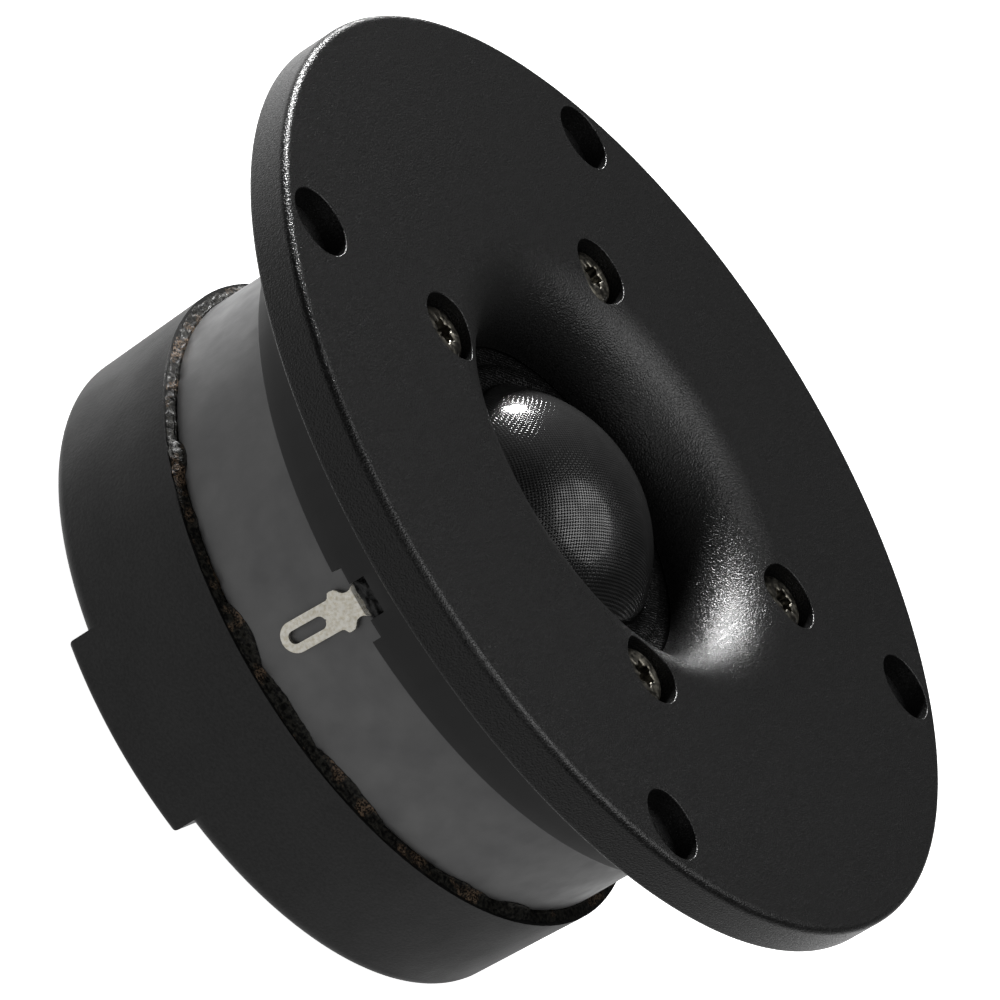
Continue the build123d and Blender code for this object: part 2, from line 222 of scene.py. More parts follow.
def add_rings(bm, rings, closed):
    """Faces between rows of vertices; a row of one repeated vertex is a pole."""
    pairs = list(zip(rings, rings[1:]))
    if closed:
        pairs.append((rings[-1], rings[0]))
    for low, high in pairs:
        for index in range(len(low)):
            after = (index + 1) % len(low)
            corners = list(dict.fromkeys([low[index], low[after], high[after], high[index]]))
            if len(corners) > 2:
                bm.faces.new(corners)


def add_lathe(bm, outline, segments=SEGMENTS, closed=True, centre=(0.0, 0.0)):
    """Surface of revolution about an upright axis through centre."""
    middle = Vector((centre[0], centre[1], 0))
    rings = []
    for radius, height in outline:
        if radius < TINY:
            rings.append([bm.verts.new(middle + Vector((0, 0, height)))] * segments)
            continue
        ring = []
        for index in range(segments):
            ring.append(bm.verts.new(middle + turn_point(radius, math.tau * index / segments, height)))
        rings.append(ring)
    add_rings(bm, rings, closed)


def add_block(bm, low, high):
    """Box between two corners, used as a cutting tool."""
    size = Vector(high) - Vector(low)
    middle = (Vector(high) + Vector(low)) / 2
    bmesh.ops.create_cube(bm, size=1, matrix=Matrix.Translation(middle) @ Matrix.Diagonal((*size, 1)))


def object_from(name, bm):
    """Object in metres from a mesh drawn in millimetres."""
    bmesh.ops.recalc_face_normals(bm, faces=bm.faces)
    mesh = bpy.data.meshes.new(name)
    bm.to_mesh(mesh)
    bm.free()
    mesh.transform(Matrix.Scale(MM, 4))
    made = bpy.data.objects.new(name, mesh)
    bpy.context.scene.collection.objects.link(made)
    return made


def apply_modifiers(piece):
    graph = bpy.context.evaluated_depsgraph_get()
    made = bpy.data.meshes.new_from_object(piece.evaluated_get(graph))
    before = piece.data
    piece.modifiers.clear()
    piece.data = made
    bpy.data.meshes.remove(before)


def cut(piece, tool_bm):
    """Subtracts the closed shapes in tool_bm from the piece."""
    tool = object_from("cutting_tool", tool_bm)
    boolean = piece.modifiers.new("cut", "BOOLEAN")
    boolean.operation = "DIFFERENCE"
    boolean.solver = "EXACT"
    boolean.object = tool
    apply_modifiers(piece)
    mesh = tool.data
    bpy.data.objects.remove(tool)
    bpy.data.meshes.remove(mesh)


def shade(piece, sharp_angle=32):
    """Smooth shading, with creases where faces meet more sharply than the angle."""
    piece.data.shade_smooth()
    piece.data.set_sharp_from_angle(angle=math.radians(sharp_angle))


def dress(piece, material, nodes, body="root"):
    """Gives a piece its finish and the body that it rides on, and hides the nodes that it stands for."""
    piece.data.materials.clear()
    piece.data.materials.append(material)
    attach(piece, body)
    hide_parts(*nodes)
    return piece


def roughen(bm, chosen, size, depth, seed):
    """Moves vertices by smooth noise of the given grain size, in millimetres."""
    for vertex in bm.verts:
        if chosen(vertex.co):
            spot = vertex.co / size + Vector((seed, seed, seed))
            vertex.co += noise.noise_vector(spot) * depth


# ---------------------------------------------------------------- materials


METAL = {"Metallic": 1.0}


class Finish:
    """A material with the few node groups that the finishes below share."""

    def __init__(self, name, colour, roughness, sockets=()):
        self.material = bpy.data.materials.new(name)
        self.material.use_nodes = True
        self.tree = self.material.node_tree
        self.shader = self.tree.nodes["Principled BSDF"]
        self.shader.inputs["Base Color"].default_value = (*colour, 1)
        self.shader.inputs["Roughness"].default_value = roughness
        for label, value in dict(sockets).items():
            self.shader.inputs[label].default_value = value
        self.place = self.tree.nodes.new("ShaderNodeTexCoord").outputs["Object"]
        self.normal = None

    def link(self, source, target):
        self.tree.links.new(source, target)

    def noise(self, size, detail=2.0, stretch=(1, 1, 1), distortion=0.0):
        """Cloudy pattern with grains of the given size in millimetres."""
        mapping = self.tree.nodes.new("ShaderNodeMapping")
        mapping.inputs["Scale"].default_value = stretch
        self.link(self.place, mapping.inputs["Vector"])
        node = self.tree.nodes.new("ShaderNodeTexNoise")
        node.inputs["Scale"].default_value = 1 / (size * MM)
        node.inputs["Detail"].default_value = detail
        node.inputs["Distortion"].default_value = distortion
        self.link(mapping.outputs["Vector"], node.inputs["Vector"])
        return node.outputs["Fac"]

    def ramp(self, source, *stops):
        """Colours or greys at positions along a pattern."""
        node = self.tree.nodes.new("ShaderNodeValToRGB")
        while len(node.color_ramp.elements) < len(stops):
            node.color_ramp.elements.new(0.5)
        for element, (position, value) in zip(node.color_ramp.elements, stops):
            element.position = position
            shade_of = value if isinstance(value, tuple) else (value, value, value)
            element.color = (*shade_of, 1)
        self.link(source, node.inputs["Fac"])
        return node.outputs["Color"]

    def math(self, operation, first, second=None):
        """One arithmetic step between patterns or numbers."""
        node = self.tree.nodes.new("ShaderNodeMath")
        node.operation = operation
        for socket, value in zip(node.inputs, (first, second)):
            if isinstance(value, (int, float)):
                socket.default_value = value
            elif value is not None:
                self.link(value, socket)
        return node.outputs["Value"]

    def mix(self, share, first, second):
        """Colour between two others."""
        node = self.tree.nodes.new("ShaderNodeMix")
        node.data_type = "RGBA"
        self.link(share, node.inputs["Factor"])
        colours = [socket for socket in node.inputs if socket.type == "RGBA"]
        for socket, value in zip(colours, (first, second)):
            if isinstance(value, tuple):
                socket.default_value = (*value, 1)
            else:
                self.link(value, socket)
        return next(output for output in node.outputs if output.type == "RGBA")

    def edges(self, low, high):
        """Pattern that is bright on worn outer edges."""
        geometry = self.tree.nodes.new("ShaderNodeNewGeometry")
        return self.ramp(geometry.outputs["Pointiness"], (low, 0.0), (high, 1.0))

    def bump(self, height, depth):
        """Relief of the given depth in millimetres, on top of any relief so far."""
        node = self.tree.nodes.new("ShaderNodeBump")
        node.inputs["Distance"].default_value = depth * MM
        self.link(height, node.inputs["Height"])
        if self.normal is not None:
            self.link(self.normal, node.inputs["Normal"])
        self.normal = node.outputs["Normal"]
        self.link(self.normal, self.shader.inputs["Normal"])
        self.link(self.normal, self.shader.inputs["Coat Normal"])

    def colour(self, source):
        self.link(source, self.shader.inputs["Base Color"])

    def gloss(self, source):
        self.link(source, self.shader.inputs["Roughness"])

    def weave(self, pitch, turn):
        """Height of a plain weave in the XY plane."""
        mapping = self.tree.nodes.new("ShaderNodeMapping")
        mapping.inputs["Rotation"].default_value = (0, 0, math.radians(turn))
        self.link(self.place, mapping.inputs["Vector"])
        split = self.tree.nodes.new("ShaderNodeSeparateXYZ")
        self.link(mapping.outputs["Vector"], split.inputs["Vector"])
        waves = []
        crossings = []
        for axis in ("X", "Y"):
            phase = self.math("MULTIPLY", split.outputs[axis], math.pi / (pitch * MM))
            half = self.math("COSINE", phase)
            crossings.append(half)
            waves.append(self.math("MULTIPLY", half, half))
        over = self.math("MULTIPLY", crossings[0], crossings[1])
        lift = self.math("MULTIPLY", over, 0.45)
        warp = self.math("MULTIPLY", waves[0], self.math("ADD", lift, 0.55))
        weft = self.math("MULTIPLY", waves[1], self.math("SUBTRACT", 0.55, lift))
        return self.math("MAXIMUM", warp, weft)


def grey(value):
    return (value, value, value)


def faceplate_finish():
    finish = Finish("faceplate_finish", grey(0.008), 0.3, {"Specular IOR Level": 0.42})
    grain = finish.noise(0.23, 1.0)
    finish.bump(grain, 0.11)
    finish.gloss(finish.ramp(finish.noise(0.2, 1.0), (0.35, 0.24), (0.65, 0.38)))
    speckle = finish.ramp(grain, (0.36, grey(0.003)), (0.66, grey(0.012)))
    finish.colour(speckle)
    return finish.material


def collar_finish():
    finish = Finish("collar_finish", grey(0.02), 0.34, {"Specular IOR Level": 0.42})
    finish.bump(finish.noise(0.5, 2.0), 0.008)
    streaks = finish.noise(2.2, 2.0, stretch=(1, 1, 0.2))
    finish.gloss(finish.ramp(streaks, (0.3, 0.3), (0.7, 0.39)))
    finish.colour(finish.ramp(finish.noise(4.0), (0.3, grey(0.016)), (0.7, grey(0.02))))
    return finish.material


def cup_finish():
    finish = Finish("rear_cup_finish", grey(0.016), 0.5, {"Specular IOR Level": 0.42})
    grain = finish.noise(0.4, 3.0)
    finish.bump(grain, 0.045)
    finish.bump(finish.noise(1.6, 2.0), 0.03)
    finish.gloss(finish.ramp(finish.noise(7.0), (0.3, 0.46), (0.7, 0.54)))
    finish.colour(finish.ramp(grain, (0.33, grey(0.011)), (0.68, grey(0.022))))
    return finish.material


def ferrite_finish():
    finish = Finish("ferrite_finish", grey(0.11), 0.4, {"IOR": 1.87})
    cloud = finish.noise(6.0, 4.0)
    finish.bump(finish.noise(0.5, 3.0, stretch=(1, 1, 0.35)), 0.012)
    finish.bump(finish.noise(3.5, 2.0), 0.03)
    finish.gloss(finish.ramp(finish.noise(2.5, 3.0), (0.3, 0.34), (0.7, 0.46)))
    base = finish.ramp(cloud, (0.3, (0.09, 0.09, 0.092)), (0.7, (0.15, 0.15, 0.149)))
    finish.colour(finish.mix(finish.edges(0.52, 0.58), base, (0.24, 0.24, 0.235)))
    return finish.material


def sealant_finish():
    finish = Finish("sealant_finish", (0.02, 0.018, 0.012), 0.6, {"Specular IOR Level": 0.25})
    lumps = finish.noise(0.5, 4.0, distortion=0.4)
    finish.bump(lumps, 0.14)
    finish.gloss(finish.ramp(finish.noise(0.7, 3.0), (0.35, 0.4), (0.65, 0.75)))
    dark = finish.ramp(lumps, (0.42, (0.006, 0.006, 0.006)), (0.6, (0.05, 0.048, 0.04)))
    brown = finish.ramp(finish.noise(0.28, 3.0), (0.44, (0.008, 0.006, 0.005)), (0.6, (0.3, 0.21, 0.14)))
    finish.colour(finish.mix(finish.ramp(finish.noise(4.0, 3.0), (0.54, 0.0), (0.62, 1.0)), dark, brown))
    return finish.material


def potting_finish():
    finish = Finish("potting_finish", grey(0.008), 0.45)
    crumbs = finish.noise(0.28, 3.0)
    finish.bump(crumbs, 0.12)
    finish.colour(finish.ramp(crumbs, (0.4, grey(0.004)), (0.7, grey(0.02))))
    return finish.material


def screw_finish():
    finish = Finish("screw_finish", (0.1, 0.095, 0.08), 0.35, METAL)
    wear = finish.noise(0.7, 4.0, distortion=0.3)
    finish.bump(finish.noise(0.22, 3.0), 0.02)
    finish.gloss(finish.ramp(wear, (0.35, 0.28), (0.7, 0.5)))
    plating = finish.ramp(wear, (0.36, (0.045, 0.042, 0.035)), (0.64, (0.16, 0.15, 0.125)))
    finish.colour(finish.mix(finish.edges(0.52, 0.6), plating, (0.5, 0.47, 0.4)))
    return finish.material


def terminal_finish():
    finish = Finish("terminal_finish", (0.92, 0.88, 0.76), 0.3, METAL)
    tin = finish.noise(0.45, 4.0)
    finish.bump(tin, 0.02)
    finish.gloss(finish.ramp(finish.noise(0.6, 3.0), (0.3, 0.24), (0.7, 0.42)))
    finish.colour(finish.ramp(tin, (0.3, (0.78, 0.72, 0.58)), (0.6, (1.0, 0.97, 0.88))))
    return finish.material


def dome_finish():
    looks = {"Specular IOR Level": 0.05, "Coat Roughness": 0.13, "Coat IOR": 1.75}
    finish = Finish("dome_finish", grey(0.01), 0.75, looks)
    cloth = finish.ramp(finish.weave(WEAVE_PITCH, 24), (0.3, 0.0), (0.6, 1.0))
    uneven = finish.ramp(finish.noise(1.8, 4.0), (0.3, 0.55), (0.7, 1.0))
    lacquer = finish.math("MULTIPLY", cloth, uneven)
    finish.bump(cloth, 0.008)
    finish.bump(finish.noise(0.35, 2.0), 0.012)
    finish.link(lacquer, finish.shader.inputs["Coat Weight"])
    finish.colour(finish.mix(lacquer, grey(0.002), grey(0.022)))
    return finish.material


def surround_finish():
    finish = Finish("surround_finish", grey(0.006), 0.8, {"Specular IOR Level": 0.0, "Coat Roughness": 0.2})
    cloth = finish.ramp(finish.weave(0.42, 24), (0.3, 0.0), (0.6, 1.0))
    drops = finish.noise(0.45, 4.0)
    finish.bump(cloth, 0.02)
    finish.bump(drops, 0.06)
    lacquer = finish.math("MULTIPLY", cloth, finish.ramp(drops, (0.42, 0.12), (0.66, 1.0)))
    finish.link(lacquer, finish.shader.inputs["Coat Weight"])
    finish.colour(finish.mix(lacquer, grey(0.002), grey(0.014)))
    return finish.material


def copper_finish(name, lacquer):
    finish = Finish(name, lacquer, 0.3, METAL)
    strands = finish.noise(0.25, 2.0, stretch=(0.1, 1, 1))
    finish.bump(strands, 0.02)
    darker = tuple(channel * 0.6 for channel in lacquer)
    finish.colour(finish.ramp(strands, (0.3, darker), (0.7, lacquer)))
    finish.gloss(finish.ramp(finish.noise(0.5), (0.3, 0.24), (0.7, 0.42)))
    return finish.material


def steel_finish(name, tone, roughness):
    finish = Finish(name, grey(tone), roughness, METAL)
    marks = finish.noise(0.4, 4.0, stretch=(1, 1, 0.08))
    finish.bump(marks, 0.01)
    finish.gloss(finish.ramp(marks, (0.3, roughness - 0.08), (0.7, roughness + 0.1)))
    finish.colour(finish.ramp(finish.noise(3.0, 3.0), (0.3, grey(tone * 0.8)), (0.7, grey(tone))))
    return finish.material


def fibre_finish(name, low, high):
    finish = Finish(name, high, 0.92, {"Sheen Weight": 0.3})
    fibres = finish.noise(0.3, 5.0, stretch=(1, 1, 0.3), distortion=0.8)
    finish.bump(fibres, 0.2)
    finish.colour(finish.ramp(fibres, (0.3, low), (0.7, high)))
    return finish.material


def plain_plastic_finish(name, tone, roughness):
    finish = Finish(name, grey(tone), roughness)
    grain = finish.noise(0.45, 2.0)
    finish.bump(grain, 0.015)
    finish.gloss(finish.ramp(finish.noise(3.0), (0.3, roughness - 0.05), (0.7, roughness + 0.08)))
    finish.colour(finish.ramp(grain, (0.3, grey(tone * 0.7)), (0.7, grey(tone))))
    return finish.material


# ---------------------------------------------------------------- faceplate


def face_height(radius):
    """Height of the front surface at a radius outside the waveguide's throat."""
    inset = max(0.0, FLARE_START_R - radius)
    return FACE_Z - FLARE_ARC_R + math.sqrt(FLARE_ARC_R ** 2 - inset ** 2)


def faceplate_outline():
    """Section of the moulding, from the waveguide's bowl round the back and the rim to the flare."""
    flare = arc((FLARE_START_R, FACE_Z - FLARE_ARC_R), FLARE_ARC_R, 90, 180, 60)
    edge = arc((FLANGE_R - FACE_EDGE_R, FACE_Z - FACE_EDGE_R), FACE_EDGE_R, 0, 90, 8)
    back = arc((FLANGE_R - BACK_EDGE_R, BACK_EDGE_R), BACK_EDGE_R, -90, 0, 4)
    face_start = (edge[-1][0], FACE_Z)
    support = (face_start[0] - 0.2, FACE_Z)
    flare_support = (FLARE_START_R + 0.3, FACE_Z)
    side = [(FLANGE_R, BACK_EDGE_R + 0.15), (FLANGE_R, FACE_Z - FACE_EDGE_R - 0.15)]
    outline = [(flare[-1][0], BOWL_BOTTOM_Z), (BOWL_R, BOWL_BOTTOM_Z), (BOWL_R, REGISTER_Z)]
    outline += [(REGISTER_R, REGISTER_Z), (REGISTER_R, 0)]
    outline += along((REGISTER_R, 0), back[0], 4)[:-1] + back + side + edge + [support]
    outline += along(support, flare_support, 6) + flare
    return outline


def add_recess(bm, angle, circle_r, bore_r, seat_r, seat_z):
    """Tool for one stepped hole whose rounded lip follows the front surface."""
    centre = turn_point(circle_r, math.radians(angle), 0)
    lip_rows = []
    for step in range(6):
        rise = math.radians(15 * step)
        lip_rows.append((seat_r + HOLE_LIP_R * (1 - math.cos(rise)), HOLE_LIP_R * (math.sin(rise) - 1)))
    lip_rows.append((lip_rows[-1][0], OVERCUT))
    rings = []
    for radius, height in ((0, -OVERCUT * 4), (bore_r, -OVERCUT * 4), (bore_r, seat_z), (seat_r, seat_z)):
        rings.append([(radius, height)] * HOLE_SEGMENTS)
    for radius, drop in lip_rows:
        ring = []
        for index in range(HOLE_SEGMENTS):
            spot = centre + turn_point(radius, math.tau * index / HOLE_SEGMENTS, 0)
            ring.append((radius, face_height(spot.xy.length) + drop))
        rings.append(ring)
    rings.append([(0, FACE_Z + OVERCUT)] * HOLE_SEGMENTS)
    rows = []
    for ring in rings:
        if ring[0][0] < TINY:
            rows.append([bm.verts.new(centre + Vector((0, 0, ring[0][1])))] * HOLE_SEGMENTS)
            continue
        row = []
        for index, (radius, height) in enumerate(ring):
            row.append(bm.verts.new(centre + turn_point(radius, math.tau * index / HOLE_SEGMENTS, height)))
        rows.append(row)
    add_rings(bm, rows, closed=False)


def make_faceplate():
    """Moulding with its eight stepped holes, and flat shading on its flat faces."""
    bm = bmesh.new()
    add_lathe(bm, faceplate_outline())
    plate = object_from("faceplate_moulding", bm)
    tools = bmesh.new()
    for angle in HOLE_ANGLES:
        add_recess(tools, angle, BOLT_CIRCLE_R, BOLT_HOLE_R, BOLT_SEAT_R, BOLT_SEAT_Z)
        add_recess(tools, angle, SCREW_CIRCLE_R, SCREW_HOLE_R, SCREW_POCKET_R, SCREW_SEAT_Z)
    cut(plate, tools)
    shade(plate)
    for polygon in plate.data.polygons:
        if abs(polygon.normal.z) > 1 - FLAT_TILT:
            polygon.use_smooth = False
    return dress(plate, faceplate_finish(), ["faceplate"])


# ---------------------------------------------------------------- clamp screws


def lobed(radius_scale, angle):
    """Radius of the six-lobe drive recess at an angle."""
    return (DRIVE_MEAN_R + DRIVE_LOBE * math.cos(6 * angle)) * radius_scale


def add_screw(bm, centre, turn):
    """Pan-head screw with a six-lobe recess and a threaded shank."""
    segments = 96
    top = SCREW_HEAD_TOP_Z
    rows = [(lambda angle: 0.0, top - DRIVE_DEPTH - 0.35)]
    for scale, height in ((0.93, top - DRIVE_DEPTH), (1.0, top - DRIVE_DEPTH + 0.12), (1.0, top - 0.3),
                          (1.0, top - 0.12), (1.07, top - 0.03), (1.12, top)):
        rows.append((lambda angle, scale=scale: lobed(scale, angle), height))
    crown_centre = (SCREW_HEAD_R - SCREW_CROWN_R, top - SCREW_CROWN_R)
    for radius, height in reversed(arc(crown_centre, SCREW_CROWN_R, 0, 90, 10)):
        rows.append((lambda angle, radius=radius: radius, height))
    for radius, height in arc((SCREW_HEAD_R - 0.2, SCREW_SEAT_Z + 0.2), 0.2, 0, -90, 3):
        rows.append((lambda angle, radius=radius: radius, height))
    step = THREAD_PITCH / 6
    height = SCREW_SEAT_Z
    while height > SCREW_END_Z + 0.5:
        def thread(angle, height=height):
            turns = height / THREAD_PITCH - angle / math.tau
            ridge = abs((turns % 1) - 0.5) * 2
            return SCREW_SHANK_R - THREAD_DEPTH * (1 - ridge)
        rows.append((thread, height))
        height -= step
    rows.append((lambda angle: SCREW_SHANK_R - THREAD_DEPTH - 0.2, SCREW_END_Z))
    rows.append((lambda angle: 0.0, SCREW_END_Z))
    rings = []
    for radius_at, height in rows:
        if radius_at(0) < TINY:
            rings.append([bm.verts.new(centre + Vector((0, 0, height)))] * segments)
            continue
        ring = []
        for index in range(segments):
            angle = math.tau * index / segments
            ring.append(bm.verts.new(centre + turn_point(radius_at(angle), angle + turn, height)))
        rings.append(ring)
    add_rings(bm, rings, closed=False)


def make_screws():
    bm = bmesh.new()
    for angle, turn in zip(HOLE_ANGLES, SCREW_TURNS):
        add_screw(bm, turn_point(SCREW_CIRCLE_R, math.radians(angle), 0), math.radians(turn))
    screws = object_from("clamp_screw_set", bm)
    shade(screws, 40)
    return dress(screws, screw_finish(), ["clamp_screws"])


# ---------------------------------------------------------------- collar and magnet


def cut_openings(collar, width, low_z, high_z):
    """Opening of a width through the skirt, on both sides of the collar."""
    tools = bmesh.new()
    for side in (1, -1):
        radii = sorted((side * (COLLAR_SKIRT_R - OVERCUT), side * (COLLAR_R + OVERCUT)))
        add_block(tools, (radii[0], -width / 2, low_z), (radii[1], width / 2, high_z))
    cut(collar, tools)


def make_collar():
    """Ring with a register step, and with a notch and a window for each terminal."""
    outer_edge = COLLAR_R - COLLAR_EDGE
    bottom = arc((outer_edge + 0.1, COLLAR_BOTTOM_Z + 0.2), 0.2, 0, -90, 4)
    outline = [(COLLAR_BORE_R, REGISTER_Z), (COLLAR_NECK_R, REGISTER_Z)]
    outline += [(COLLAR_NECK_R, 0), (outer_edge, 0), (COLLAR_R, -COLLAR_EDGE)]
    outline += along((COLLAR_R, -COLLAR_EDGE), bottom[0], 8)[:-1] + bottom
    outline += [(COLLAR_SKIRT_R, COLLAR_BOTTOM_Z), (COLLAR_SKIRT_R, TOP_PLATE_Z)]
    outline += [(COLLAR_BORE_R, TOP_PLATE_Z)]
    bm = bmesh.new()
    add_lathe(bm, outline)
    collar = object_from("collar_moulding", bm)
    cut_openings(collar, NOTCH_W, COLLAR_BOTTOM_Z - OVERCUT, NOTCH_TOP_Z)
    cut_openings(collar, WINDOW_W, NOTCH_TOP_Z - OVERCUT, WINDOW_TOP_Z)
    bevel = collar.modifiers.new("moulded_edges", "BEVEL")
    bevel.width = 0.12 * MM
    bevel.segments = 2
    bevel.limit_method = "ANGLE"
    bevel.angle_limit = math.radians(50)
    apply_modifiers(collar)
    shade(collar)
    return dress(collar, collar_finish(), ["collar"])


def make_ferrite():
    """Ring with broken edges and a few small chips."""
    outer = FERRITE_R - FERRITE_EDGE
    top = arc((outer, FERRITE_TOP_Z - FERRITE_EDGE), FERRITE_EDGE, 90, 0, 5)
    bottom = arc((outer, FERRITE_BOTTOM_Z + FERRITE_EDGE), FERRITE_EDGE, 0, -90, 5)
    outline = [(FERRITE_BORE_R, FERRITE_TOP_Z)] + along((FERRITE_BORE_R, FERRITE_TOP_Z), top[0], 4)[:-1]
    outline += top + along(top[-1], bottom[0], 24)[:-1] + bottom
    outline += along(bottom[-1], (FERRITE_BORE_R, FERRITE_BOTTOM_Z), 4)
    bm = bmesh.new()
    add_lathe(bm, outline, 720)
    for vertex in bm.verts:
        radius = vertex.co.xy.length
        near_top = abs(vertex.co.z - FERRITE_TOP_Z) < 0.9
        near_bottom = abs(vertex.co.z - FERRITE_BOTTOM_Z) < 0.9
        if radius > outer - 0.2 and (near_top or near_bottom):
            chip = max(0.0, noise.noise(vertex.co / 1.4) - 0.25)
            chip += max(0.0, noise.noise(vertex.co / 0.5) - 0.4) * 0.6
            vertex.co.xy *= 1 - chip * 0.35 / radius
    ring = object_from("ferrite_ring", bm)
    shade(ring, 40)
    return dress(ring, ferrite_finish(), ["ferrite_magnet"])


# ---------------------------------------------------------------- dome and surround


def make_dome():
    centre = (0, DOME_APEX_Z - DOME_SPHERE_R)
    inner_r = DOME_SPHERE_R - FABRIC_T
    base_angle = math.degrees(math.acos(DOME_BASE_R / DOME_SPHERE_R))
    inner_angle = math.degrees(math.acos((DOME_BASE_R - 0.05) / inner_r))
    outline = arc(centre, inner_r, 90, inner_angle, 60)
    outline += arc(centre, DOME_SPHERE_R, base_angle, 90, 90)
    outline[0] = (0, outline[0][1])
    outline[-1] = (0, outline[-1][1])
    bm = bmesh.new()
    add_lathe(bm, outline, closed=False)
    dome = object_from("dome_cap", bm)
    shade(dome, 60)
    return dress(dome, dome_finish(), ["dome"], "diaphragm")


def surround_outline(inset):
    """Upper face of the surround, or with an inset its lower face, from the dome outwards."""
    land_top = LAND_Z + FABRIC_T
    crest = land_top + ROLL_H
    middle = (ROLL_INNER_R + ROLL_OUTER_R) / 2
    half = (ROLL_OUTER_R - ROLL_INNER_R) / 2
    base_z = DOME_APEX_Z - DOME_SPHERE_R + math.sqrt(DOME_SPHERE_R ** 2 - DOME_BASE_R ** 2)
    points = [(ROLL_INNER_R - 0.35, base_z - 0.02 - inset), (ROLL_INNER_R - 0.1, base_z - 0.12 - inset)]
    points += [(ROLL_INNER_R - inset / 2, ROLL_FOOT_Z + 0.25)]
    inner = ellipse_arc((middle, ROLL_FOOT_Z), half - inset, crest - ROLL_FOOT_Z - inset, 180, 90, 16)
    outer = ellipse_arc((middle, land_top), half - inset, ROLL_H - inset, 90, 0, 20)
    points += inner + outer[1:]
    if inset:
        points += [(ROLL_OUTER_R - inset, LAND_Z), (LAND_OUTER_R, LAND_Z)]
    else:
        points += [(ROLL_OUTER_R + 0.1, land_top), (LAND_OUTER_R, land_top)]
    return points


def make_surround():
    outline = surround_outline(0.0) + surround_outline(FABRIC_T)[::-1]
    bm = bmesh.new()
    add_lathe(bm, outline, 480)
    roughen(bm, lambda spot: spot.xy.length < ROLL_OUTER_R + 0.6, 0.9, 0.05, 3.1)
    roughen(bm, lambda spot: spot.xy.length < ROLL_OUTER_R + 0.6, 3.0, 0.06, 7.4)
    surround = object_from("surround_roll", bm)
    shade(surround, 60)
    surround.data.materials.append(surround_finish())
    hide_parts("surround")
    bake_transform(surround)
    return surround


# ---------------------------------------------------------------- terminals and leads


def lug_half_width(height):
    """Half the lug's width at a height, where its outside tab is flat."""
    stations = (
        (LUG_TIP_Z + LUG_TAB_HALF_W, LUG_TAB_HALF_W),
        (-17.7, LUG_TAB_HALF_W),
        (-17.35, 2.2),
        (-17.0, 2.72),
        (-16.75, 2.8),
        (-16.1, 2.75),
        (-15.75, 2.5),
        (-15.45, 2.1),
        (-15.1, 1.82),
        (-14.6, 1.72),
        (-14.1, 1.8),
        (-13.7, 2.1),
        (-13.2, 2.42),
    )
    if height <= stations[0][0]:
        below = stations[0][0] - height
        return math.sqrt(max(0.0, LUG_TAB_HALF_W ** 2 - below ** 2))
    for (low, low_w), (high, high_w) in zip(stations, stations[1:]):
        if height <= high:
            share = (height - low) / (high - low)
            share = share * share * (3 - 2 * share)
            return low_w + (high_w - low_w) * share
    return stations[-1][1]


def slot_half_width(height):
    """Half the width of the wire hole at a height."""
    low, high = LUG_HOLE_Z
    beyond = max(low + LUG_HOLE_R - height, height - high + LUG_HOLE_R, 0.0)
    if beyond >= LUG_HOLE_R:
        return 0.0
    return math.sqrt(LUG_HOLE_R ** 2 - beyond ** 2)


def lug_heights():
    """Stations up the flat tab, closer together round the tip and the hole's ends."""
    heights = []
    for step in range(13):
        heights.append(LUG_TIP_Z + LUG_TAB_HALF_W * (1 - math.cos(math.radians(7.5 * step))))
    for end, sign in ((LUG_HOLE_Z[0], 1), (LUG_HOLE_Z[1], -1)):
        for step in range(9):
            heights.append(end + sign * LUG_HOLE_R * (1 - math.cos(math.radians(11.25 * step))))
    count = 60
    straight = LUG_BEND_Z[0] - LUG_TIP_Z - LUG_TAB_HALF_W
    for step in range(count + 1):
        heights.append(LUG_TIP_Z + LUG_TAB_HALF_W + straight * step / count)
    heights = sorted(heights)
    kept = [heights[0]]
    for height in heights[1:]:
        if height - kept[-1] > 0.02:
            kept.append(height)
    return kept


def lug_path():
    """Middle line of the sheet beyond the flat tab: step, riser and inner tongue, with round bends."""
    outside = LUG_OUTSIDE_R - LUG_T / 2
    inside = LUG_INSIDE_R - LUG_T / 2
    top = LUG_TONGUE_Z - LUG_T / 2
    corners = [(outside, LUG_BEND_Z[0] - 0.3), (outside, LUG_BEND_Z[0]), (inside, LUG_BEND_Z[1])]
    corners += [(inside, top), (LUG_TONGUE_END_R, top)]
    path = []
    for before, corner, after in zip(corners, corners[1:], corners[2:]):
        into = (Vector(before) - Vector(corner)).normalized()
        out = (Vector(after) - Vector(corner)).normalized()
        reach = min(LUG_BEND_R, (Vector(after) - Vector(corner)).length * 0.45)
        for step in range(9):
            share = step / 8
            start = Vector(corner) + into * reach
            end = Vector(corner) + out * reach
            bent = Vector(corner) * 2 * share * (1 - share)
            path.append(start * (1 - share) ** 2 + bent + end * share ** 2)
    path.append(Vector(corners[-1]))
    return path


